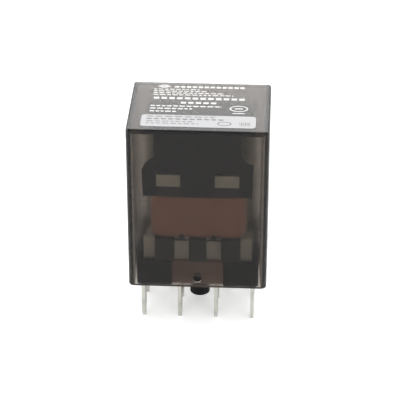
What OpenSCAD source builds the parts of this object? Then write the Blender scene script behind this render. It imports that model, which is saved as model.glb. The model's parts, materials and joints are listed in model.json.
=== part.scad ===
// Plug-in relay with four changeover poles, a smoked dust cover and fourteen flat blades.
// The origin is the middle of the seating face under the base. +Z runs up to the cover's top,
// -Y is the coil side, and the four poles stand side by side along X at the back.

/* [Cover] */
// Width of the dust cover
cover_w = 27.9; // [27.5:0.1:29]
// Depth of the dust cover
cover_d = 21.4; // [21.2:0.1:22.5]
// Height of the dust cover above the seating face
cover_h = 35.6; // [35.4:0.1:38]
// Thickness of the cover's side walls
wall = 0.95; // [0.8:0.05:1.0]
// Thickness of the cover's top
top_wall = 1.2; // [0.9:0.1:1.3]
// Radius of the cover's upright edges
edge_r = 1.2; // [1.1:0.1:1.8]
// Radius round the cover's top
top_r = 0.6; // [0.4:0.1:1]

/* [Base] */
// Height of the base inside the cover
base_h = 5.4; // [5.2:0.1:5.4]
// Gap between the base's ends and the cover
end_gap = 0.65; // [0.4:0.05:0.8]
// Diameter of the round locating post
post_d = 4.1; // [3:0.1:4.4]
// Length of the locating post below the seating face
post_len = 7.7; // [5:0.1:8.5]

/* [Terminals] */
// Length of the blades below the seating face
pin_len = 9; // [6:0.1:10]
// Width of a blade
pin_w = 4; // [3:0.1:4.4]
// Thickness of a blade
pin_t = 0.7; // [0.5:0.05:0.8]
// Distance between blade columns along X
pin_pitch = 7.4; // [7.2:0.1:7.5]
// Distance between blade rows along Y
row_pitch = 7.2; // [7:0.1:7.4]
// How far the outer middle blades are set back
set_back = 1.4; // [0:0.1:1.6]

/* [Contacts] */
// Distance between neighbouring poles
pole_pitch = 6.2; // [6:0.1:6.4]
// Width of a fixed contact blade
blade_w = 4; // [3:0.1:4.2]
// Width of a moving contact spring
spring_w = 2.6; // [2:0.1:3]
// Diameter of a contact button
button_d = 1.9; // [1.5:0.1:2.2]
// Height of the contact buttons
button_z = 28.4; // [27:0.1:28.6]

/* [Magnet] */
// Width of the taped coil
coil_w = 19.4; // [17:0.1:19.6]
// Depth of the taped coil
coil_d = 9.8; // [9:0.1:9.8]
// Height of the taped coil
coil_h = 11.7; // [10.5:0.1:11.8]
// Angle between the open and the closed armature
open_angle = 3.5; // [2:0.1:3.6]

/* [Hidden] */
$fn = 48;
cut = 0.5;            // how far a cutting shape runs past the face it opens
fit = 0.02;           // gap round a fixed round joint
in_w = cover_w - 2 * wall;
in_d = cover_d - 2 * wall;
in_h = cover_h - top_wall;
poles = [-1.5, -0.5, 0.5, 1.5];
function pole_x(i) = poles[i] * pole_pitch;
function pin_x(i) = poles[i] * pin_pitch;
function is_outer(i) = abs(poles[i]) > 1;

// Base
base_w = in_w - 2 * end_gap;
base_d = in_d - 0.1;
recess_w = 10.4;      // brown barrier plate sits at the back of this front recess
recess_d = 0.6;
snap_z = 1.8;         // round boss that snaps into the cover's hole
snap_d = 1.6;
barrier_t = 0.5;

// Stamped terminals: heights of the runs that are moulded into the base
run_t = 0.6;
no_run_z = 3.8;
common_run_z = 2.2;
nc_run_z = 0.8;
run_w = 2.4;
coil_pin_x = 6.2;
coil_pin_y = 4.2;
coil_post_y = 3.3;
coil_post_top = 10;
tip_w = 1.6;
tip_len = 1.8;
eye_w = 1.2;          // solder eye in each blade
eye_len = 2.4;
neck_foot = 0.2;      // a blade keeps its full width up to here, just inside the base
shoulder = 0.4;       // height over which it then narrows to its neck
neck_w = 2.8;         // its width further up in the base

// Contact stack, from the coil side to the back
blade_t = 0.4;
no_y = 5;             // front face of the normally open blade
spring_y = 6.8;       // front face of the moving spring
spring_t = 0.2;
nc_y = 8.3;           // front face of the normally closed blade
blade_top = 29.6;
stub_y = 6.32;        // front face of the common terminal's stub
stub_top = 9.4;
spring_foot_z = 7.2;
spring_pivot_z = 8.2;
spring_top = 32;
shank_d = 1;
tail_t = 0.15;
tail_d = 1.4;
moving_head = 0.45;
no_head = 0.46;
nc_head = 0.81;
foot_rivet_d = 0.9;
foot_rivet_gap = 0.12;

// Magnet
yoke_t = 1.6;
yoke_w = 21.8;
yoke_lip_t = 0.8;     // the yoke's front lip stands behind the coil's feet
yoke_front = -8.6;
leg_w = 10.4;
leg_y = 2.2;          // front face of the yoke's upright leg
pole_z = 22.6;        // top of the core and of the yoke's leg
coil_y = -3.4;
coil_z = 10.5;
tape_t = 0.35;
flange_t = 0.8;
top_flange_t = 2.8;
tube_t = 0.7;
core_w = 10.4;
core_d = 4.4;
ring_w = 1;
ring_depth = 1.2;
coil_r = 2.6;

// Armature and actuator card
pivot_y = leg_y + yoke_t / 2;
armature_t = 1.6;
armature_w = 19.2;
armature_front = -8.4;
lip_t = 0.45;         // the armature's front lip, seen through the card's windows
lip_foot = 21.7;
armature_gap = 0.04;  // left between the closed armature and the pole face
tail_w = 1.8;
tail_y = 6.2;
apron_y = -9.4;
apron_t = 0.55;
apron_foot = 19.8;
window_top = 25.2;
shoulder_z = 28.3;
card_top = 33.2;
card_w = 22;
head_w = 17.2;
centre_leg_w = 6.8;
window_w = 4.8;
deck_t = 1;
comb_z = 30.6;
comb_h = 1.5;
comb_back = 8;
comb_w = 21.6;
slot_clear = 0.1;
stud_x = 6.6;
stud_y = -1.6;
stud_d = 2;

// Return spring on the armature's tail
hook_z = 12.2;
return_y = 5.2;
return_r = 0.9;
return_wire = 0.3;
return_turns = 9;
hook_wire = 0.28;

// ---------- shared shapes ----------

// A box from its low corner to its high corner.
module span(low, high) {
    translate(low) cube(high - low);
}

module rounded_rect(w, d, r) {
    square([w - 2 * r, d], center = true);
    square([w, d - 2 * r], center = true);
    for (x = [-1, 1], y = [-1, 1])
        translate([x * (w / 2 - r), y * (d / 2 - r)]) circle(r);
}

// A profile drawn in the YZ plane, given a thickness t along X about x.
module side_plate(x, t) {
    translate([x - t / 2, 0, 0]) rotate([90, 0, 90]) linear_extrude(t) children();
}

// A profile drawn in the XZ plane, from y towards +Y by t.
module front_plate(y, t) {
    translate([0, y + t, 0]) rotate([90, 0, 0]) linear_extrude(t) children();
}

// A cylinder along +Y that starts at y.
module y_rod(x, y, z, d, len) {
    translate([x, y, z]) rotate([-90, 0, 0]) cylinder(d = d, h = len);
}

// ---------- cover and label ----------

module cover_block(w, d, h, r, round_top) {
    intersection() {
        linear_extrude(h) rounded_rect(w, d, r);
        front_plate(-d / 2, d) translate([0, h / 2 - round_top])
            rounded_rect(w, h + 2 * round_top, round_top);
        side_plate(0, w) translate([0, h / 2 - round_top])
            rounded_rect(d, h + 2 * round_top, round_top);
    }
}

module dust_cover() {
    color([0.2, 0.18, 0.17, 0.45]) difference() {
        cover_block(cover_w, cover_d, cover_h, edge_r, top_r);
        translate([0, 0, -cut]) linear_extrude(in_h + cut)
            rounded_rect(in_w, in_d, edge_r - wall / 2);
        y_rod(0, -cover_d / 2 - cut, snap_z, snap_d + 0.2, cover_d + 2 * cut);
    }
}

label_w = 22.4;
label_front = -8.9;
label_d = 4.9;
label_t = 0.08;
module rating_label() {
    color("white") translate([0, label_front + label_d / 2, cover_h])
        linear_extrude(label_t) rounded_rect(label_w, label_d, 0.8);
}

// ---------- base ----------

module base_block() {
    linear_extrude(base_h) rounded_rect(base_w, base_d, 0.8);
    translate([0, 0, -post_len]) cylinder(d = post_d, h = post_len + cut);
    for (s = [-1, 1])
        translate([s * (base_w / 2 + end_gap / 2 - 0.1), 0, 1.8])
            cube([end_gap, 2.4, 3.6], center = true);
}

module snap_boss(d) {
    y_rod(0, -base_d / 2 - 0.6, snap_z, d, 0.65 + recess_d + barrier_t);
}

module front_recess() {
    span([-recess_w / 2, -base_d / 2 - cut, -cut],
         [recess_w / 2, -base_d / 2 + recess_d + barrier_t, base_h + cut]);
}

module base() {
    color([0.08, 0.08, 0.085]) difference() {
        union() {
            difference() {
                base_block();
                front_recess();
            }
            for (turn = [0, 180]) rotate([0, 0, turn]) snap_boss(snap_d);
        }
        for (i = [0:3]) {
            no_metal(i);
            common_metal(i);
            nc_metal(i);
        }
        for (s = [-1, 1]) {
            coil_terminal_metal(s);
            rivet_shank(s, fit);
        }
    }
}

// The plate lies in the recess, round the boss and the feet of the two middle blades.
module barrier_plate() {
    color([0.36, 0.2, 0.14]) difference() {
        span([-recess_w / 2, -base_d / 2 + recess_d, 0],
             [recess_w / 2, -base_d / 2 + recess_d + barrier_t, base_h]);
        snap_boss(snap_d + 2 * fit);
        for (i = [1, 2]) no_metal(i);
    }
}

// ---------- stamped terminals ----------

module blade_profile(top) {
    difference() {
        polygon([[-neck_w / 2, top], [neck_w / 2, top],
                 [neck_w / 2, neck_foot + shoulder], [pin_w / 2, neck_foot],
                 [pin_w / 2, tip_len - pin_len],
                 [tip_w / 2, -pin_len], [-tip_w / 2, -pin_len],
                 [-pin_w / 2, tip_len - pin_len],
                 [-pin_w / 2, neck_foot], [-neck_w / 2, neck_foot + shoulder]]);
        translate([0, 0.42 * -pin_len]) {
            square([eye_w, eye_len - eye_w], center = true);
            for (s = [-1, 1]) translate([0, s * (eye_len - eye_w) / 2]) circle(d = eye_w);
        }
    }
}

module blade(x, y, top) {
    translate([0, y, 0]) side_plate(x, pin_t) blade_profile(top);
}

// The strip inside the base, from y0 to y1, that joins a blade at pin_x to a contact at pole_x.
module run(i, y0, y1, z) {
    low = min(pole_x(i) - run_w / 2, pin_x(i) - pin_t / 2);
    high = max(pole_x(i) + run_w / 2, pin_x(i) + pin_t / 2);
    span([low, y0, z], [high, y1, z + run_t]);
}

module upright(i, y, z0, z1) {
    span([pole_x(i) - run_w / 2, y, z0], [pole_x(i) + run_w / 2, y + blade_t, base_h + 1]);
    front_plate(y, blade_t) polygon([
        [pole_x(i) - run_w / 2, base_h + 1], [pole_x(i) - blade_w / 2, base_h + 2],
        [pole_x(i) - blade_w / 2, z1 - 0.8], [pole_x(i) - blade_w / 2 + 0.8, z1],
        [pole_x(i) + blade_w / 2 - 0.8, z1], [pole_x(i) + blade_w / 2, z1 - 0.8],
        [pole_x(i) + blade_w / 2, base_h + 2], [pole_x(i) + run_w / 2, base_h + 1]]);
}

module no_metal(i) {
    blade(pin_x(i), -row_pitch, no_run_z + run_t);
    run(i, -row_pitch - neck_w / 2, no_y + blade_t, no_run_z);
    upright(i, no_y, no_run_z, blade_top);
}

module nc_metal(i) {
    blade(pin_x(i), row_pitch, nc_run_z + run_t);
    run(i, row_pitch - neck_w / 2, row_pitch + neck_w / 2 + 0.2, nc_run_z);
    upright(i, nc_y, nc_run_z, blade_top);
}

module common_metal(i) {
    y = is_outer(i) ? set_back : 0;
    blade(pin_x(i), y, common_run_z + run_t);
    run(i, y - neck_w / 2, stub_y + blade_t, common_run_z);
    span([pole_x(i) - run_w / 2, stub_y, common_run_z],
         [pole_x(i) + run_w / 2, stub_y + blade_t, stub_top]);
}

module button_hole(i, y) {
    y_rod(pole_x(i), y - cut, button_z, shank_d + 2 * fit, blade_t + 2 * cut);
}

module no_terminal(i) {
    color([0.76, 0.75, 0.7]) difference() {
        no_metal(i);
        button_hole(i, no_y);
    }
}

module nc_terminal(i) {
    color([0.76, 0.75, 0.7]) difference() {
        nc_metal(i);
        button_hole(i, nc_y);
    }
}

module common_terminal(i) {
    color([0.76, 0.75, 0.7]) difference() {
        common_metal(i);
        y_rod(pole_x(i), stub_y - cut, spring_pivot_z,
              foot_rivet_d + 2 * foot_rivet_gap, blade_t + 2 * cut);
    }
}

module coil_terminal_metal(s) {
    blade(s * coil_pin_x, coil_pin_y, base_h);
    span([s * coil_pin_x - pin_t / 2, coil_post_y - pin_t / 2, base_h - cut],
         [s * coil_pin_x + pin_t / 2, coil_post_y + pin_t / 2, coil_post_top]);
}

module coil_terminal(s) {
    color([0.76, 0.75, 0.7]) coil_terminal_metal(s);
}

// ---------- contacts ----------

// A button riveted through a blade. Its head faces away from the blade by head along dir.
module button(i, face_y, dir, head) {
    back = dir > 0 ? face_y - blade_t : face_y + blade_t;
    y_rod(pole_x(i), min(face_y, face_y + dir * head), button_z, button_d, head);
    y_rod(pole_x(i), min(face_y, back) - 0.01, button_z, shank_d, blade_t + 0.02);
    y_rod(pole_x(i), dir > 0 ? back - tail_t : back, button_z, tail_d, tail_t);
}

module no_contact(i) {
    color([0.86, 0.85, 0.82]) button(i, no_y + blade_t, 1, no_head);
}

module nc_contact(i) {
    color([0.86, 0.85, 0.82]) button(i, nc_y, -1, nc_head);
}

module moving_contact(i) {
    color([0.86, 0.85, 0.82]) {
        y_rod(pole_x(i), spring_y - moving_head, button_z, button_d, moving_head);
        y_rod(pole_x(i), spring_y - 0.01, button_z, shank_d, spring_t + 0.02);
        y_rod(pole_x(i), spring_y + spring_t, button_z, button_d, moving_head);
    }
}

// The flat spring, with the rivet that holds its foot to the common terminal.
module moving_spring(i) {
    x = pole_x(i);
    color([0.78, 0.62, 0.36]) {
        difference() {
            front_plate(spring_y, spring_t) polygon([
                [x - spring_w / 2, spring_foot_z], [x - spring_w / 2, spring_top - 2.4],
                [x - 0.8, spring_top - 1.6], [x - 0.8, spring_top], [x + 0.8, spring_top],
                [x + 0.8, spring_top - 1.6], [x + spring_w / 2, spring_top - 2.4],
                [x + spring_w / 2, spring_foot_z]]);
            y_rod(x, spring_y - cut, button_z, shank_d + 2 * fit, spring_t + 2 * cut);
        }
        y_rod(x, spring_y + spring_t - 0.01, spring_pivot_z, 1.5, 0.3);
        y_rod(x, stub_y - 0.1, spring_pivot_z, foot_rivet_d, spring_y - stub_y + 0.2);
        y_rod(x, stub_y - 0.35, spring_pivot_z, 1.5, 0.27);
    }
}

// ---------- magnet ----------

module yoke() {
    hook_y = return_y + 0.7;
    color([0.68, 0.68, 0.66]) difference() {
        union() {
            span([-yoke_w / 2, yoke_front, base_h], [yoke_w / 2, leg_y - 1, base_h + yoke_t]);
            span([-yoke_w / 2, yoke_front, base_h],
                 [yoke_w / 2, yoke_front + yoke_lip_t, coil_z]);
            span([-leg_w / 2, leg_y - 1 - cut, base_h],
                 [leg_w / 2, leg_y + yoke_t, base_h + yoke_t]);
            span([-leg_w / 2, leg_y, base_h], [leg_w / 2, leg_y + yoke_t, pole_z]);
            span([-tail_w / 2, leg_y, hook_z - 0.6], [tail_w / 2, hook_y, hook_z]);
        }
        span([-core_w / 2 + 1.5, coil_y - core_d / 2 + 0.6, base_h - cut],
             [core_w / 2 - 1.5, coil_y + core_d / 2 - 0.6, base_h + yoke_t + cut]);
        for (leg = bobbin_legs)
            span([leg[0] - 0.05, yoke_front - cut, coil_z - shelf_t],
                 [leg[1] + 0.05, yoke_front + yoke_lip_t + cut, coil_z + cut]);
        for (s = [-1, 1]) rivet_shank(s, fit);
        translate([0, return_y, hook_z - 1]) cylinder(d = 0.6, h = 2);
    }
}

rivet_x = 6.2;
rivet_y = -6.4;
rivet_d = 1.6;
module rivet_shank(s, gap) {
    translate([s * rivet_x, rivet_y, -cut])
        cylinder(d = rivet_d + 2 * gap, h = base_h + yoke_t + 2 * cut);
}

module frame_rivets() {
    color([0.72, 0.71, 0.68]) for (s = [-1, 1]) translate([s * rivet_x, rivet_y, 0]) {
        translate([0, 0, 0.1]) cylinder(d = rivet_d, h = base_h + yoke_t);
        translate([0, 0, base_h + yoke_t]) cylinder(d = 2.6, h = 0.5);
    }
}

module ring_slot(gap) {
    translate([0, coil_y, pole_z - ring_depth]) {
        for (s = [-1, 1])
            translate([s * (core_w / 4) - ring_w / 2 - gap, -core_d / 2 - cut, -gap])
                cube([ring_w + 2 * gap, core_d + 2 * cut, ring_depth + cut]);
    }
}

module core() {
    color([0.64, 0.64, 0.63]) difference() {
        union() {
            span([-core_w / 2, coil_y - core_d / 2, base_h + yoke_t],
                 [core_w / 2, coil_y + core_d / 2, pole_z]);
            span([-core_w / 2 + 1.5, coil_y - core_d / 2 + 0.6, base_h],
                 [core_w / 2 - 1.5, coil_y + core_d / 2 - 0.6, base_h + yoke_t + 0.01]);
        }
        ring_slot(0);
    }
}

// A closed copper turn that sits in the pole face's two slots.
module shading_ring() {
    bar = 0.7;
    low = pole_z - ring_depth;
    color([0.72, 0.42, 0.26]) {
        for (s = [-1, 1])
            span([s * core_w / 4 - ring_w / 2, coil_y - core_d / 2 - bar, low],
                 [s * core_w / 4 + ring_w / 2, coil_y + core_d / 2 + bar, pole_z - 0.1]);
        for (s = [-1, 1])
            translate([0, coil_y + s * (core_d / 2 + bar / 2), (low + pole_z - 0.1) / 2])
                cube([core_w / 2 + ring_w, bar, ring_depth - 0.1], center = true);
    }
}

module spool_bore(h) {
    translate([-core_w / 2 - 0.05, coil_y - core_d / 2 - 0.05, -cut])
        cube([core_w + 0.1, core_d + 0.1, h]);
}

flange_w = coil_w - 2 * tape_t;
flange_d = coil_d - 2 * tape_t;
tube_w = core_w + 2 * tube_t;
tube_d = core_d + 2 * tube_t;
ring_room_d = core_d + 1.6;
foot_y = apron_y;
foot_t = 0.5;
shelf_t = 0.5;        // thickness of the shelf at the top of each foot
bobbin_legs = [[-8.6, -4.7], [-1.75, 1.75], [4.7, 8.6]];
module bobbin() {
    color([0.09, 0.09, 0.095]) difference() {
        union() {
            translate([0, coil_y, coil_z]) {
                linear_extrude(flange_t) rounded_rect(flange_w, flange_d, coil_r - tape_t);
                translate([0, 0, coil_h - top_flange_t]) linear_extrude(top_flange_t)
                    rounded_rect(flange_w, flange_d, coil_r - tape_t);
                linear_extrude(coil_h) rounded_rect(tube_w, tube_d, 0.6);
            }
            for (leg = bobbin_legs) {
                span([leg[0], foot_y, base_h], [leg[1], foot_y + foot_t, coil_z]);
                span([leg[0], foot_y, coil_z - shelf_t], [leg[1], foot_y + 2.6, coil_z]);
                span([leg[0], coil_y - flange_d / 2 + 0.65, coil_z - shelf_t],
                     [leg[1], foot_y + 2.6, coil_z + 0.1]);
            }
            for (x = [-3.2, 3.2]) front_plate(foot_y, 0.4) polygon([
                [x - 1.5, coil_z - 0.2], [x + 1.5, coil_z - 0.2], [x + 1.5, coil_z],
                [x + 0.7, coil_z], [x + 0.25, coil_z + 1], [x - 0.25, coil_z + 1],
                [x - 0.7, coil_z], [x - 1.5, coil_z]]);
        }
        spool_bore(cover_h);
        span([-core_w / 4 - ring_w / 2 - 0.1, coil_y - ring_room_d / 2, coil_z + coil_h - 1.1],
             [core_w / 4 + ring_w / 2 + 0.1, coil_y + ring_room_d / 2, coil_z + coil_h + cut]);
    }
}

module winding() {
    color([0.72, 0.4, 0.22]) translate([0, coil_y, coil_z + flange_t]) difference() {
        linear_extrude(coil_h - flange_t - top_flange_t)
            rounded_rect(flange_w, flange_d, coil_r - tape_t);
        translate([0, 0, -cut]) linear_extrude(coil_h) rounded_rect(tube_w, tube_d, 0.6);
    }
}

module coil_tape() {
    color([0.5, 0.2, 0.12]) translate([0, coil_y, coil_z]) difference() {
        linear_extrude(coil_h - top_flange_t + 0.2) rounded_rect(coil_w, coil_d, coil_r);
        translate([0, 0, -cut]) linear_extrude(coil_h + 2 * cut)
            rounded_rect(flange_w + 0.02, flange_d + 0.02, coil_r - tape_t);
    }
}

// A fine lead from under the coil to its soldered joint round the coil terminal's post.
module coil_lead(s) {
    wire = 0.3;
    joint_z = coil_post_top - 1.6;
    top = [s * 5.2, coil_y + coil_d / 2 - 1.2, coil_z - 0.02];
    bend = [s * 5.9, coil_post_y - pin_t / 2 - 0.35, joint_z];
    color([0.74, 0.4, 0.22]) {
        hull() {
            translate(top - [0, 0, wire / 2]) sphere(d = wire, $fn = 12);
            translate(bend) sphere(d = wire, $fn = 12);
        }
        translate([s * coil_pin_x, coil_post_y, joint_z - 0.3]) difference() {
            cylinder(r = 0.8, h = 0.9);
            cube([pin_t + 0.02, pin_t + 0.02, 4], center = true);
        }
    }
}

// ---------- armature and card ----------

// Tips a piece drawn for the closed armature back to its open, resting place.
module opened() {
    translate([0, pivot_y, pole_z]) rotate([-open_angle, 0, 0])
        translate([0, -pivot_y, -pole_z]) children();
}

module armature() {
    z = pole_z + armature_gap;
    color([0.7, 0.7, 0.68]) opened() difference() {
        union() {
            span([-armature_w / 2, armature_front, z],
                 [armature_w / 2, leg_y + yoke_t + 0.3, z + armature_t]);
            span([-armature_w / 2, armature_front - lip_t, lip_foot],
                 [armature_w / 2, armature_front + 0.01, z + armature_t]);
            span([-tail_w / 2, leg_y + yoke_t, z], [tail_w / 2, tail_y, z + 0.8]);
        }
        for (s = [-1, 1]) translate([s * stud_x, stud_y, z - cut])
            cylinder(d = stud_d / 2 + 2 * fit, h = armature_t + 2 * cut);
        translate([0, return_y, z - cut]) cylinder(d = 0.6, h = 2);
    }
}

module apron_outline() {
    half = card_w / 2;
    head = head_w / 2;
    leg_in = centre_leg_w / 2 + window_w;
    difference() {
        union() {
            polygon([[-half + 0.2, apron_foot], [half - 0.2, apron_foot], [half, shoulder_z - 1.4],
                     [head + 1.2, shoulder_z - 1.1], [head, shoulder_z], [head, card_top],
                     [-head, card_top], [-head, shoulder_z], [-half + 0.7, shoulder_z - 1.5],
                     [-half, shoulder_z - 2.8]]);
        }
        for (s = [-1, 1]) translate([s * (centre_leg_w / 2 + window_w / 2), 0])
            polygon([[-window_w / 2, apron_foot - 1], [window_w / 2, apron_foot - 1],
                     [window_w / 2, window_top], [-window_w / 2, window_top]]);
    }
}

module comb_slots() {
    for (i = [0:3])
        span([pole_x(i) - 0.8 - slot_clear, spring_y - slot_clear, comb_z - cut],
             [pole_x(i) + 0.8 + slot_clear, spring_y + spring_t + slot_clear,
              comb_z + comb_h + cut]);
}

module actuator_card() {
    z = pole_z + armature_gap + armature_t;
    deck_w = 16.8;
    color([0.07, 0.07, 0.075]) {
        difference() {
            union() {
                opened() {
                    front_plate(apron_y, apron_t) apron_outline();
                    span([-deck_w / 2, apron_y + apron_t - 0.01, window_top],
                         [deck_w / 2, pivot_y, window_top + deck_t]);
                    span([-head_w / 2, apron_y + apron_t - 0.01, card_top - deck_t],
                         [head_w / 2, apron_y + 3.4, card_top]);
                    for (s = [-1, 0, 1])
                        span([s * (head_w / 2 - 0.4) - 0.4, apron_y + apron_t - 0.01, window_top],
                             [s * (head_w / 2 - 0.4) + 0.4, apron_y + 3.4, card_top]);
                    span([-deck_w / 2, pivot_y - 1, window_top],
                         [deck_w / 2, pivot_y, comb_z + comb_h]);
                    span([-comb_w / 2, pivot_y - 1, comb_z],
                         [comb_w / 2, comb_back, comb_z + comb_h]);
                    for (s = [-1, 1]) translate([s * stud_x, stud_y, z])
                        cylinder(d = stud_d + 1, h = window_top - z + 0.01);
                }
            }
            comb_slots();
            opened() for (s = [-1, 1]) translate([s * stud_x, stud_y, z - cut])
                cylinder(d = stud_d / 2 + 2 * fit, h = window_top - z + deck_t + 2 * cut);
        }
    }
}

module card_rivets() {
    z = pole_z + armature_gap;
    color([0.78, 0.76, 0.72]) opened() for (s = [-1, 1])
        translate([s * stud_x, stud_y, 0]) {
            translate([0, 0, z + 0.1])
                cylinder(d = stud_d / 2, h = window_top + deck_t - z - 0.1 + 0.01);
            translate([0, 0, window_top + deck_t]) cylinder(d = stud_d, h = 0.4);
        }
}

// ---------- return spring ----------

function helix_point(t, r, z0, z1, turns) =
    [r * cos(360 * turns * t), r * sin(360 * turns * t), z0 + (z1 - z0) * t];

// A round wire swept along a helix, as one closed surface.
module helix_wire(r, z0, z1, turns, wire, per_turn, sides) {
    rings = turns * per_turn;
    pitch_angle = atan((z1 - z0) / (turns * 2 * PI * r));
    points = [for (k = [0:rings]) let (a = 360 * turns * k / rings)
        for (j = [0:sides - 1]) let (
            b = 360 * j / sides,
            radial = wire / 2 * cos(b),
            across = wire / 2 * sin(b),
            p = helix_point(k / rings, r, z0, z1, turns))
        p + radial * [cos(a), sin(a), 0]
          + across * [sin(a) * sin(pitch_angle), -cos(a) * sin(pitch_angle), cos(pitch_angle)]];
    walls = [for (k = [0:rings - 1], j = [0:sides - 1]) let (n = (j + 1) % sides)
        [k * sides + n, (k + 1) * sides + n, (k + 1) * sides + j, k * sides + j]];
    polyhedron(points, concat([[for (j = [sides - 1:-1:0]) j]], walls,
        [[for (j = [0:sides - 1]) rings * sides + j]]), convexity = 10);
}

// A hook: an arm from the last turn to the spring's axis, a stem through the eye and a foot
// behind it. dir points from the coils to the eye.
module spring_hook(z, stem, dir) {
    elbow = hook_wire + 0.04;
    translate([0, 0, z]) {
        rotate([0, 90, 0]) cylinder(d = hook_wire, h = return_r, $fn = 16);
        sphere(d = elbow, $fn = 16);
        translate([0, 0, dir > 0 ? 0 : -stem]) cylinder(d = hook_wire, h = stem, $fn = 16);
        translate([0, 0, dir * stem]) {
            sphere(d = elbow, $fn = 16);
            rotate([0, 90, 0]) cylinder(d = hook_wire, h = 0.9, $fn = 16);
        }
    }
}

module return_spring() {
    tail_underside = pole_z - 0.1;
    low = hook_z + 0.3;
    high = tail_underside - 0.35;
    color([0.75, 0.75, 0.74]) translate([0, return_y, 0]) {
        helix_wire(return_r, low, high, return_turns, return_wire, 16, 6);
        spring_hook(low, 1.08, -1);
        spring_hook(high, 1.42, 1);
    }
}

// ---------- what is drawn ----------

dust_cover();
rating_label();
base();
barrier_plate();
yoke();
frame_rivets();
core();
shading_ring();
bobbin();
winding();
coil_tape();
coil_terminal(-1);  // coil_terminal_left
coil_terminal(1);  // coil_terminal_right
coil_lead(-1);  // coil_lead_left
coil_lead(1);  // coil_lead_right
armature();
actuator_card();
card_rivets();
return_spring();
for (i = [0:3]) {
    no_terminal(i);
    no_contact(i);
    nc_terminal(i);
    nc_contact(i);
    common_terminal(i);
    moving_spring(i);
    moving_contact(i);
}
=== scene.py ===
"""Looks of a plug-in relay with a smoked cover: materials, softened edges, the coil's tape, the
return spring, the leads and the print on the cover, with a pale floor, studio light and camera."""
import json
import math
import random

import bmesh
import bpy
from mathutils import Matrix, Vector


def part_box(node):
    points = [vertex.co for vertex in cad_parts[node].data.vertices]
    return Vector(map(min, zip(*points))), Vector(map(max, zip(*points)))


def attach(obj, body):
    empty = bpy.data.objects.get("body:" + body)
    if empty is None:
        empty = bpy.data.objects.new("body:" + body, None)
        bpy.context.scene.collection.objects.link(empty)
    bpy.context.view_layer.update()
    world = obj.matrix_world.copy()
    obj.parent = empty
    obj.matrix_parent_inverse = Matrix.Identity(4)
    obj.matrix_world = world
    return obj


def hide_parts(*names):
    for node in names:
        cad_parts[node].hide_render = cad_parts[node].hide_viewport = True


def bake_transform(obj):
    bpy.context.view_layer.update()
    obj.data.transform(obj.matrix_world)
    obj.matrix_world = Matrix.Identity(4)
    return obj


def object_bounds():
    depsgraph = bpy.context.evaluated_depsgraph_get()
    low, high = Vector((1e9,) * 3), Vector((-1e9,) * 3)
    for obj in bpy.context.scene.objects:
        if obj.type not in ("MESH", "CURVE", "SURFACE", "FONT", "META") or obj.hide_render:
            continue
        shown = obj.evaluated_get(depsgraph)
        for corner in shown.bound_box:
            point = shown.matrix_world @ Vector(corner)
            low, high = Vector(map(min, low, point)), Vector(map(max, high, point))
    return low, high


MM = 0.001
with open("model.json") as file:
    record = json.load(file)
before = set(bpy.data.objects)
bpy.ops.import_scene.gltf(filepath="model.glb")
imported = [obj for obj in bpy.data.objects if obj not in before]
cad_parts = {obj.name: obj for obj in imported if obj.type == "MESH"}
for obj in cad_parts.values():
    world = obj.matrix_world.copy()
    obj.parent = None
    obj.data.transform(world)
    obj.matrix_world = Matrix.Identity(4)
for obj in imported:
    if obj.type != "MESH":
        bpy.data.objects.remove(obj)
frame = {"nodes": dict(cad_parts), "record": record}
nodes = frame["nodes"]
cad_low, cad_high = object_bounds()

scene = bpy.context.scene
scene.view_settings.view_transform = "Standard"


# ---------- node tree helpers ----------

class Paint:
    """A material with one Principled shader, and short ways to add texture nodes to it."""

    def __init__(self, name, **sockets):
        self.mat = bpy.data.materials.new(name)
        self.mat.use_nodes = True
        self.tree = self.mat.node_tree
        self.shader = self.tree.nodes["Principled BSDF"]
        self.output = self.tree.nodes["Material Output"]
        for key, value in sockets.items():
            self.shader.inputs[key.replace("_", " ")].default_value = value

    def add(self, kind, **settings):
        node = self.tree.nodes.new(kind)
        for key, value in settings.items():
            if key in node.inputs:
                node.inputs[key].default_value = value
            else:
                setattr(node, key, value)
        return node

    def link(self, a, b):
        self.tree.links.new(a, b)

    def place(self, stretch=(1, 1, 1)):
        """Object coordinates, stretched along each axis."""
        coords = self.add("ShaderNodeTexCoord")
        mapping = self.add("ShaderNodeMapping")
        mapping.inputs["Scale"].default_value = stretch
        self.link(coords.outputs["Object"], mapping.inputs["Vector"])
        return mapping.outputs["Vector"]

    def noise(self, size, stretch=(1, 1, 1), detail=4, rough=0.55):
        """Noise from 0 to 1 whose features are about size metres across."""
        node = self.add("ShaderNodeTexNoise", Scale=1 / size, Detail=detail, Roughness=rough)
        self.link(self.place(stretch), node.inputs["Vector"])
        return node.outputs["Fac"]

    def ramp(self, source, stops):
        """A colour ramp through (position, colour) stops."""
        node = self.add("ShaderNodeValToRGB")
        band = node.color_ramp
        while len(band.elements) < len(stops):
            band.elements.new(0.5)
        for element, (position, colour) in zip(band.elements, stops):
            element.position = position
            element.color = (*colour, 1)
        self.link(source, node.inputs["Fac"])
        return node.outputs["Color"]

    def span(self, source, low, high, start=0.3, end=0.7):
        """source from start to end, mapped to low to high."""
        node = self.add("ShaderNodeMapRange")
        for key, value in (("From Min", start), ("From Max", end), ("To Min", low), ("To Max", high)):
            node.inputs[key].default_value = value
        self.link(source, node.inputs["Value"])
        return node.outputs["Result"]

    def colour(self, source):
        self.link(source, self.shader.inputs["Base Color"])
        return self

    def roughness(self, source):
        self.link(source, self.shader.inputs["Roughness"])
        return self

    def bump(self, source, height, strength=1.0):
        """Bumps whose full height is given in metres. Each call adds to the one before."""
        node = self.add("ShaderNodeBump", Strength=strength, Distance=height)
        self.link(source, node.inputs["Height"])
        normal = self.shader.inputs["Normal"]
        if normal.is_linked:
            self.link(normal.links[0].from_socket, node.inputs["Normal"])
        self.link(node.outputs["Normal"], normal)
        return self


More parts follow.
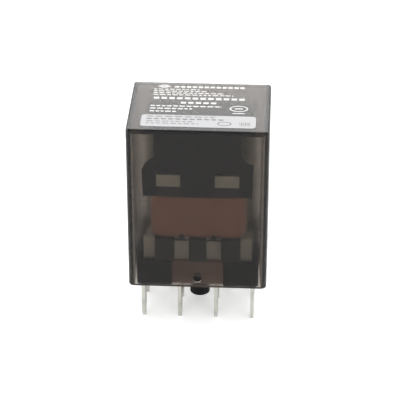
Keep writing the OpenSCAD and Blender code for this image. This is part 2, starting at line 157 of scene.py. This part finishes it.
def metal(name, tint, rough, grain=0.4, stretch=(1, 1, 1), stain=None):
    """Bare or plated metal with stamped grain, small stains and uneven polish."""
    paint = Paint(name, Metallic=1.0)
    stain = stain or [c * 0.72 for c in tint]
    cloud = paint.noise(2.6 * MM, detail=5)
    bright = [min(1, c * 1.06) for c in tint]
    paint.colour(paint.ramp(cloud, [(0.3, stain), (0.52, tint), (0.8, bright)]))
    fine = paint.noise(grain * MM, stretch, detail=6, rough=0.7)
    paint.roughness(paint.span(fine, rough * 0.75, min(1, rough * 1.4)))
    paint.bump(fine, 0.012 * MM, 0.5)
    return paint.mat


def plastic(name, dark, light, rough, texture=0.12, depth=0.02, gloss=0.5):
    """Moulded plastic with a fine eroded texture and faint flow marks."""
    paint = Paint(name, Specular_IOR_Level=gloss)
    flow = paint.noise(3.5 * MM, (1, 1, 0.35), detail=3)
    paint.colour(paint.ramp(flow, [(0.3, dark), (0.7, light)]))
    grit = paint.noise(texture * MM, detail=3, rough=0.6)
    paint.roughness(paint.span(grit, rough * 0.85, min(1, rough * 1.2)))
    paint.bump(grit, depth * MM, 0.6).bump(flow, 0.03 * MM, 0.3)
    return paint.mat


# ---------- the cover's smoked plastic ----------

SMOKE_DENSITY = 1480.0  # per metre of wall
SMOKE_COLOUR = (0.37, 0.325, 0.285, 1)


def smoked_plastic():
    """Frosted clear plastic that absorbs light in its thickness and lets light rays straight in."""
    paint = Paint("smoked_cover", Transmission_Weight=1.0, IOR=1.34, Roughness=0.27,
                  Base_Color=(0.93, 0.91, 0.885, 1))
    haze = paint.noise(1.4 * MM, detail=4)
    paint.bump(haze, 0.02 * MM, 0.12)
    clear = paint.add("ShaderNodeBsdfTransparent")
    path = paint.add("ShaderNodeLightPath")
    mix = paint.add("ShaderNodeMixShader")
    paint.link(path.outputs["Is Shadow Ray"], mix.inputs[0])
    paint.link(paint.shader.outputs[0], mix.inputs[1])
    paint.link(clear.outputs[0], mix.inputs[2])
    paint.link(mix.outputs[0], paint.output.inputs["Surface"])
    smoke = paint.add("ShaderNodeVolumeAbsorption", Color=SMOKE_COLOUR, Density=SMOKE_DENSITY)
    paint.link(smoke.outputs[0], paint.output.inputs["Volume"])
    return paint.mat


def paper(name, tint):
    """Matt label stock with a faint grain."""
    paint = Paint(name, Roughness=0.42)
    fibre = paint.noise(0.25 * MM, (1, 0.5, 1), detail=5)
    paint.colour(paint.ramp(fibre, [(0.25, [c * 0.95 for c in tint]), (0.75, tint)]))
    paint.bump(fibre, 0.01 * MM, 0.4)
    return paint.mat


def tape_film():
    """Coloured film over rows of wire, glossier where it's pulled tight."""
    paint = Paint("red_brown_tape", Roughness=0.34)
    cloud = paint.noise(2.2 * MM, (1, 1, 1.6), detail=4)
    paint.colour(paint.ramp(cloud, [(0.25, (0.4, 0.19, 0.12)), (0.75, (0.52, 0.255, 0.165))]))
    paint.roughness(paint.span(cloud, 0.26, 0.42))
    paint.bump(paint.noise(0.5 * MM, (0.3, 0.3, 2.5), detail=3), 0.03 * MM, 0.5)
    return paint.mat


def wound_wire_and_groove_shade():
    """Enamelled copper in rows of turns, with painted shade darkening the grooves between the turns."""
    paint = Paint("copper_wire", Metallic=0.9, Roughness=0.3)
    rows = paint.add("ShaderNodeTexWave", Scale=1 / (0.55 * MM) / math.tau * 2, bands_direction="Z")
    paint.link(paint.place(), rows.inputs["Vector"])
    # painted shade: the ramp darkens the copper colour in the groove between each pair of turns, where
    # shade falls; the same wave also drives the real bump below
    paint.colour(paint.ramp(rows.outputs["Fac"], [(0, (0.24, 0.08, 0.03)), (0.6, (0.62, 0.26, 0.1))]))
    paint.bump(rows.outputs["Fac"], 0.05 * MM)
    return paint.mat


MATERIALS = {
    "smoked_cover": smoked_plastic(),
    "label_white": paper("label_white", (0.54, 0.54, 0.55)),
    "black_moulding": plastic("black_moulding", (0.006, 0.006, 0.006), (0.01, 0.01, 0.01), 0.55,
                              gloss=0.12),
    "brown_sheet": plastic("brown_sheet", (0.22, 0.14, 0.11), (0.29, 0.185, 0.145), 0.55),
    "plated_iron": metal("plated_iron", (0.54, 0.53, 0.48), 0.34, 0.5, (1, 1, 0.3)),
    "plated_steel": metal("plated_steel", (0.66, 0.64, 0.6), 0.26, 0.2),
    "copper": metal("copper", (0.75, 0.38, 0.24), 0.3, 0.3),
    "black_nylon": plastic("black_nylon", (0.01, 0.01, 0.01), (0.016, 0.016, 0.016), 0.42),
    "copper_wire": wound_wire_and_groove_shade(),
    "red_brown_tape": tape_film(),
    "tinned_brass": metal("tinned_brass", (0.5, 0.5, 0.455), 0.36, 0.35, (1, 1, 0.15)),
    "black_card": plastic("black_card", (0.007, 0.007, 0.008), (0.012, 0.012, 0.013), 0.5, 0.2,
                          gloss=0.25),
    "spring_steel": metal("spring_steel", (0.6, 0.6, 0.6), 0.24, 0.1),
    "silver_contact": metal("silver_contact", (0.84, 0.83, 0.8), 0.2, 0.15),
    "phosphor_bronze": metal("phosphor_bronze", (0.7, 0.5, 0.28), 0.28, 0.3, (1, 1, 0.12)),
}
print_ink = plastic("print_ink", (0.86, 0.86, 0.85), (0.92, 0.92, 0.91), 0.6, 0.08, 0.004)
label_ink = plastic("label_ink", (0.16, 0.16, 0.17), (0.22, 0.22, 0.23), 0.6, 0.08, 0.004)
SLOT_OF = {row["node"]: row["material_slot"] for row in frame["record"]["subparts"]}


# ---------- CAD nodes: finish and softened edges ----------

WELD_GAP = 0.001 * MM
FLAT_ANGLE, EDGE_ANGLE = math.radians(0.5), math.radians(38)  # below is one face, above is an edge
EDGE = {  # radius of the softened edges in mm, by material slot
    "black_moulding": 0.12, "black_nylon": 0.1, "black_card": 0.12, "plated_iron": 0.1,
    "tinned_brass": 0.07, "phosphor_bronze": 0.03, "plated_steel": 0.08, "silver_contact": 0.1,
    "copper": 0.08, "brown_sheet": 0.05,
}


def soften(obj, radius, segments=2):
    """Welds the imported triangles, joins the flat ones into whole faces and rounds the sharp edges
    a little, as stamping and moulding do."""
    weld = obj.modifiers.new("weld", "WELD")
    weld.merge_threshold = WELD_GAP
    flat = obj.modifiers.new("flat", "DECIMATE")
    flat.decimate_type = "DISSOLVE"
    flat.angle_limit = FLAT_ANGLE
    bevel = obj.modifiers.new("bevel", "BEVEL")
    bevel.width = radius * MM
    bevel.segments = segments
    bevel.limit_method = "ANGLE"
    bevel.angle_limit = EDGE_ANGLE
    bevel.harden_normals = True
    bevel.use_clamp_overlap = True


for name, obj in nodes.items():
    slot = SLOT_OF[name]
    obj.data.materials.clear()
    obj.data.materials.append(MATERIALS[slot])
    if slot in EDGE:
        soften(obj, EDGE[slot])


# ---------- new pieces ----------

def mesh_piece(name, verts, faces, slot, body="relay_frame", smooth=True):
    """A mesh in metres that rides on body and takes the finish of slot."""
    mesh = bpy.data.meshes.new(name)
    mesh.from_pydata([Vector(v) for v in verts], [], faces)
    mesh.validate()
    build = bmesh.new()
    build.from_mesh(mesh)
    bmesh.ops.recalc_face_normals(build, faces=build.faces)
    build.to_mesh(mesh)
    build.free()
    if smooth:
        mesh.shade_smooth()
    obj = bpy.data.objects.new(name, mesh)
    scene.collection.objects.link(obj)
    mesh.materials.append(MATERIALS[slot])
    if body:
        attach(obj, body)
    return obj


def swept(name, path, radius, slot, body="relay_frame", sides=10):
    """A round wire of that radius along path, with a rounded end at each end."""
    points = [Vector(p) for p in path]
    verts, faces = [], []
    normal = None
    count = len(points)
    for k, point in enumerate(points):
        ahead = points[min(k + 1, count - 1)]
        behind = points[max(k - 1, 0)]
        tangent = (ahead - behind).normalized()
        if normal is None:
            normal = tangent.orthogonal().normalized()
        normal = (normal - tangent * normal.dot(tangent)).normalized()
        across = tangent.cross(normal)
        for j in range(sides):
            a = math.tau * j / sides
            verts.append(point + radius * (math.cos(a) * normal + math.sin(a) * across))
    for k in range(count - 1):
        for j in range(sides):
            n = (j + 1) % sides
            faces.append([k * sides + j, k * sides + n, (k + 1) * sides + n, (k + 1) * sides + j])
    for end, start, way in ((points[0], 0, points[0] - points[1]),
                            (points[-1], (count - 1) * sides, points[-1] - points[-2])):
        tip = len(verts)
        verts.append(end + way.normalized() * radius * 0.6)
        faces += [[start + j, start + (j + 1) % sides, tip] for j in range(sides)]
    return mesh_piece(name, verts, faces, slot, body)


def curve_points(controls, per_span=10):
    """A Catmull-Rom curve through the control points."""
    p = [Vector(c) for c in controls]
    p = [2 * p[0] - p[1], *p, 2 * p[-1] - p[-2]]
    out = []
    for i in range(1, len(p) - 2):
        for k in range(per_span):
            t = k / per_span
            out.append(0.5 * (2 * p[i] + (p[i + 1] - p[i - 1]) * t
                              + (2 * p[i - 1] - 5 * p[i] + 4 * p[i + 1] - p[i + 2]) * t ** 2
                              + (3 * p[i] - p[i - 1] - 3 * p[i + 1] + p[i + 2]) * t ** 3))
    return out + [p[-2]]


def ring_outline(width, depth, radius, steps=12):
    """Points round a rectangle with rounded corners, each with its outward direction."""
    out = []
    for quarter in range(4):
        sx, sy = [(1, 1), (-1, 1), (-1, -1), (1, -1)][quarter]
        cx, cy = sx * (width / 2 - radius), sy * (depth / 2 - radius)
        for k in range(steps + 1):
            a = math.pi / 2 * (quarter + k / steps)
            out.append((cx + radius * math.cos(a), cy + radius * math.sin(a), math.cos(a), math.sin(a)))
    dense = []
    for p, q in zip(out, out[1:] + out[:1]):
        far = math.hypot(q[0] - p[0], q[1] - p[1])
        parts = max(1, round(far / (0.5 * MM)))
        dense += [tuple(p[i] + (q[i] - p[i]) * k / parts for i in range(4)) for k in range(parts)]
    return dense


def taped_coil():
    """The coil's tape: a wrap that bulges a little and shows the rows of wire under it, with the
    tape's free end lying over the first turn at the back."""
    low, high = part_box("coil_tape")
    middle = (low + high) / 2
    width, depth = high.x - low.x, high.y - low.y
    outline = ring_outline(width - 0.16 * MM, depth - 0.16 * MM, 2.6 * MM)
    rows = 46
    rng = random.Random(7)
    row_out = [rng.uniform(-1, 1) for _ in range(rows + 1)]
    verts, faces = [], []
    count = len(outline)
    levels = []
    for r in range(rows + 1):
        t = r / rows
        rim = min(t, 1 - t) * rows
        inward = 0.09 * MM * max(0.0, 1 - rim / 1.5)
        ridge = 0.012 * MM * (math.sin(r * math.pi) + row_out[r])
        swell = 0.035 * MM * math.sin(math.pi * t)
        levels.append((low.z + t * (high.z - low.z), ridge + swell - inward))
    for z, out in levels:
        for x, y, nx, ny in outline:
            overlap = 0.03 * MM if y > depth / 2 - 0.4 * MM and -2 * MM < x < 5 * MM else 0
            verts.append((middle.x + x + nx * (out + overlap), middle.y + y + ny * (out + overlap), z))
    for z, out in reversed(levels[::rows]):
        for x, y, nx, ny in outline:
            verts.append((middle.x + x - nx * 0.25 * MM, middle.y + y - ny * 0.25 * MM, z))
    rings = rows + 3
    for r in range(rings):
        a, b = r * count, (r + 1) % rings * count
        for j in range(count):
            n = (j + 1) % count
            faces.append([a + j, a + n, b + n, b + j])
    piece = mesh_piece("taped_coil", verts, faces, "red_brown_tape")
    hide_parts("coil_tape")


def return_spring():
    """The armature's return spring, wound from round wire, with a hook in each eye."""
    low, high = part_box("return_spring")
    axis = Vector((0, (low.y + high.y) / 2, 0))
    wire, radius, turns, steps = 0.15 * MM, 0.9 * MM, 9, 26
    bottom, top = low.z + 1.1 * MM, high.z - 1.45 * MM
    path = [axis + Vector((0.6 * MM, 0, low.z + wire)), axis + Vector((0.15 * MM, 0, low.z + wire)),
            axis + Vector((0, 0, low.z + 0.4 * MM)), axis + Vector((0, 0, bottom - 0.3 * MM)),
            axis + Vector((0.3 * MM, 0, bottom - 0.05 * MM)), axis + Vector((0.7 * MM, 0, bottom))]
    path = curve_points(path, 4)
    for k in range(turns * steps + 1):
        a = math.tau * k / steps
        z = bottom + (top - bottom) * k / (turns * steps)
        path.append(axis + Vector((radius * math.cos(a), radius * math.sin(a), z)))
    path += curve_points([
        axis + Vector((0.6 * MM, 0, top + 0.02 * MM)), axis + Vector((0.2 * MM, 0, top + 0.1 * MM)),
        axis + Vector((0, 0, top + 0.4 * MM)), axis + Vector((0, 0, high.z - 0.4 * MM)),
        axis + Vector((0.15 * MM, 0, high.z - wire)), axis + Vector((0.6 * MM, 0, high.z - wire))], 4)
    piece = swept("spring_wire", path, wire, "spring_steel", body=None)
    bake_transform(piece)
    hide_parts("return_spring")


def coil_lead(side, name):
    """A fine lead from under the coil, wound three times round its post and soldered."""
    low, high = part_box(name)
    post_low, post_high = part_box(f"coil_terminal_{side}")
    way = -1 if side == "left" else 1
    x, y = (post_low.x + post_high.x) / 2, high.y - 0.8 * MM
    z = low.z + 0.35 * MM
    wire, loop = 0.09 * MM, 0.56 * MM
    start = Vector((way * 5.2 * MM, low.y + 0.2 * MM, high.z - 0.15 * MM))
    controls = [start, start + Vector((0, 0.3 * MM, -0.5 * MM)),
                Vector((x - way * 0.2 * MM, y - 1.3 * MM, z + 0.75 * MM)),
                Vector((x, y - loop, z + 0.55 * MM))]
    path = curve_points(controls, 8)[:-1]
    for k in range(3 * 20 + 1):
        a = -math.pi / 2 + way * math.tau * k / 20
        path.append(Vector((x + loop * math.cos(a), y + loop * math.sin(a),
                            z + (0.55 - 0.19 * k / 20) * MM)))
    piece = swept(f"lead_wire_{side}", path, wire, "copper_wire")
    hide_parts(name)
    solder(side, x, y, z)


def solder(side, x, y, z):
    """A small fillet of solder that holds the wound lead to its post."""
    rings = [(-0.28, 0.42), (-0.22, 0.6), (0.05, 0.66), (0.3, 0.6), (0.45, 0.46), (0.5, 0.4)]
    verts, faces, sides = [], [], 20
    for dz, r in rings:
        for j in range(sides):
            a = math.tau * j / sides
            wave = 1 + 0.05 * math.sin(3 * a + 2 * dz)
            verts.append((x + r * wave * MM * math.cos(a), y + r * wave * MM * math.sin(a), z + dz * MM))
    for r in range(len(rings) - 1):
        for j in range(sides):
            n = (j + 1) % sides
            faces.append([r * sides + j, r * sides + n, (r + 1) * sides + n, (r + 1) * sides + j])
    faces += [list(range(sides))[::-1], [(len(rings) - 1) * sides + j for j in range(sides)]]
    mesh_piece(f"solder_{side}", verts, faces, "plated_steel")


# ---------- print on the cover and the label ----------

INK_HEIGHT = 0.012 * MM   # print on the cover
LABEL_INK_HEIGHT = 0.009 * MM
LABEL_DROP = 0.012 * MM   # the label's face lies this far below its node's top, for the ink


class Ink:
    """Flat ink marks gathered into one thin mesh."""

    def __init__(self, z, height):
        self.z, self.height = z, height
        self.verts, self.faces = [], []

    def patch(self, corners):
        """A thin slab over corners, which are XY points in mm, counter-clockwise."""
        base, n = len(self.verts), len(corners)
        for z in (self.z, self.z + self.height):
            self.verts += [(x * MM, y * MM, z) for x, y in corners]
        self.faces.append([base + n + k for k in range(n)])
        self.faces.append([base + k for k in reversed(range(n))])
        for k in range(n):
            m = (k + 1) % n
            self.faces.append([base + k, base + m, base + n + m, base + n + k])

    def bar(self, x0, y0, x1, y1, width):
        """A straight line from one point to another."""
        length = math.hypot(x1 - x0, y1 - y0)
        nx, ny = -(y1 - y0) / length * width / 2, (x1 - x0) / length * width / 2
        self.patch([(x0 - nx, y0 - ny), (x1 - nx, y1 - ny), (x1 + nx, y1 + ny), (x0 + nx, y0 + ny)])

    def ring(self, x, y, rx, ry, width, steps=18):
        """An open ring, drawn as short bars."""
        for k in range(steps):
            a, b = math.tau * k / steps, math.tau * (k + 1) / steps
            self.bar(x + rx * math.cos(a), y + ry * math.sin(a),
                     x + rx * math.cos(b), y + ry * math.sin(b), width)

    def dashes(self, x0, x1, y, height, rng, gap=0.35, longest=2.2):
        """A row of short dashes of uneven length, in place of a line of small print."""
        x = x0
        while x < x1:
            end = min(x1, x + rng.uniform(0.5, longest))
            self.bar(x, y, end, y, height)
            x = end + gap

    def piece(self, name, ink):
        obj = mesh_piece(name, self.verts, self.faces, "label_white", smooth=False)
        obj.data.materials.clear()
        obj.data.materials.append(ink)
        return obj


def print_on_cover():
    """Rows of plain blocks and dashes, a lozenge and a ring with a bar."""
    rng = random.Random(3)
    ink = Ink(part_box("dust_cover")[1].z, INK_HEIGHT)
    ink.ring(-7.6, 8.5, 1.3, 0.62, 0.34, 4)
    ink.bar(-8.4, 8.5, -6.8, 8.5, 0.4)
    for k in range(12):
        ink.bar(-5.5 + 1.2 * k, 8.4, -4.62 + 1.2 * k, 8.4, 0.75)
    for y, end in ((7.2, -0.4), (6.4, 1.2), (5.6, 4.4), (4.8, 6.4)):
        ink.dashes(-9.6, end, y, 0.36, rng, 0.3, 1.2)
    for k in range(12):
        ink.bar(-9.4 + 1.55 * k, 3.3, -8.3 + 1.55 * k, 3.3, 0.85)
    for k in range(5):
        ink.bar(-3.9 + 1.5 * k, 1.4, -2.85 + 1.5 * k, 1.4, 0.75)
    for y, end in ((-0.1, 4.3), (-1.2, -1.5), (-2.4, -4.6)):
        ink.dashes(-9.8, end, y, 0.46, rng, 0.3, 1.2)
    ink.ring(7.7, -0.7, 1.7, 1.15, 0.28, 26)
    ink.bar(6.9, -0.7, 8.5, -0.7, 0.4)
    ink.bar(6.5, -2.7, 8.9, -2.7, 0.3)
    ink.piece("cover_print", print_ink)


def blank_label():
    """The label as a thin sheet with rounded corners, and its printed fields."""
    low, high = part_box("rating_label")
    middle = (low + high) / 2
    outline = ring_outline(high.x - low.x, high.y - low.y, 0.8 * MM)
    top = high.z - LABEL_DROP
    verts, faces, n = [], [], len(outline)
    for z, inset in ((low.z, 0), (top - 0.02 * MM, 0), (top, 0.03 * MM)):
        verts += [(middle.x + x - nx * inset, middle.y + y - ny * inset, z) for x, y, nx, ny in outline]
    for r in (0, 1):
        faces += [[r * n + j, r * n + (j + 1) % n, (r + 1) * n + (j + 1) % n, (r + 1) * n + j]
                  for j in range(n)]
    faces += [list(range(n))[::-1], [2 * n + j for j in range(n)]]
    piece = mesh_piece("label_sheet", verts, faces, "label_white", smooth=False)
    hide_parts("rating_label")
    rng = random.Random(5)
    ink = Ink(top + 0.001 * MM, LABEL_INK_HEIGHT)
    left = low.x / MM + 1.1
    y = high.y / MM
    ink.dashes(left, left + 13.2, y - 0.75, 0.3, rng, 0.5, 1.6)
    for k in range(11):
        ink.bar(left + 1.4 * k, y - 1.75, left + 0.95 + 1.4 * k, y - 1.75, 0.42)
    ink.dashes(left, left + 9.4, y - 2.75, 0.26, rng, 0.4, 1.3)
    ink.dashes(left, left + 10.2, y - 3.6, 0.26, rng, 0.4, 1.3)
    ink.ring(left + 15.2, y - 3.3, 1.3, 0.75, 0.2, 24)
    for k in range(6):
        ink.bar(left + 18.2 + 0.36 * k, y - 3.9, left + 18.2 + 0.36 * k, y - 2.6, 0.1 + 0.06 * (k % 2))
    ink.piece("label_print", label_ink)


taped_coil()
return_spring()
coil_lead("left", "coil_lead_left")
coil_lead("right", "coil_lead_right")
print_on_cover()
blank_label()


# ---------- camera, floor and light ----------

TARGET = Vector((0.0, 0.0, 13 * MM))
AZIMUTH, ELEVATION, DISTANCE = 3.0, 30.5, 0.35  # degrees, degrees, metres
SENSOR_MM, LENS_MM = 36, 154.35


def add_camera():
    cam = bpy.data.cameras.new("camera")
    obj = bpy.data.objects.new("camera", cam)
    scene.collection.objects.link(obj)
    a, e = math.radians(AZIMUTH), math.radians(ELEVATION)
    back = Vector((math.sin(a) * math.cos(e), -math.cos(a) * math.cos(e), math.sin(e)))
    obj.location = TARGET + back * DISTANCE
    obj.rotation_mode = "QUATERNION"
    obj.rotation_quaternion = (-back).to_track_quat("-Z", "Y")
    cam.sensor_width = SENSOR_MM
    cam.lens = LENS_MM
    cam.shift_x, cam.shift_y = 0.0, 0.0125
    cam.clip_start, cam.clip_end = 0.01, 20
    scene.camera = obj


def add_area(name, place, size, power, aim=(0, 0, 0.01)):
    light = bpy.data.lights.new(name, "AREA")
    light.shape = "RECTANGLE"
    light.size, light.size_y = size
    light.energy = power
    obj = bpy.data.objects.new(name, light)
    obj.location = place
    obj.rotation_mode = "QUATERNION"
    obj.rotation_quaternion = (Vector(aim) - Vector(place)).to_track_quat("-Z", "Y")
    scene.collection.objects.link(obj)


FLOOR_HALF = 3.0  # metres
FLOOR_GLOW = 0.4
SKY_LIGHT, SKY_SEEN = 0.8, 1.05  # strength of the white surroundings as light, and as seen directly


def add_floor():
    z = cad_low.z
    mesh = bpy.data.meshes.new("floor")
    s = FLOOR_HALF
    mesh.from_pydata([(-s, -s, z), (s, -s, z), (s, s, z), (-s, s, z)], [], [(0, 1, 2, 3)])
    obj = bpy.data.objects.new("floor", mesh)
    scene.collection.objects.link(obj)
    paint = Paint("floor", Roughness=0.9, Specular_IOR_Level=0.0,
                  Emission_Color=(1, 1, 1, 1), Emission_Strength=FLOOR_GLOW)
    soft = paint.noise(60 * MM, detail=2)
    paint.colour(paint.ramp(soft, [(0.3, (0.93, 0.93, 0.93)), (0.7, (0.95, 0.95, 0.95))]))
    mesh.materials.append(paint.mat)


def add_world():
    world = bpy.data.worlds.new("world")
    scene.world = world
    world.use_nodes = True
    tree = world.node_tree
    background = tree.nodes["Background"]
    background.inputs["Color"].default_value = (1, 1, 1, 1)
    seen = tree.nodes.new("ShaderNodeLightPath")
    strength = tree.nodes.new("ShaderNodeMath")
    strength.operation = "MULTIPLY_ADD"
    tree.links.new(seen.outputs["Is Camera Ray"], strength.inputs[0])
    strength.inputs[1].default_value = SKY_SEEN - SKY_LIGHT
    strength.inputs[2].default_value = SKY_LIGHT
    tree.links.new(strength.outputs[0], background.inputs["Strength"])


add_camera()
add_floor()
add_world()
add_area("back_softbox", (0.0, 0.76, 0.46), (0.8, 0.45), 3.7)
add_area("front_softbox", (0.1, -0.8, 0.42), (1.5, 0.8), 4.4)
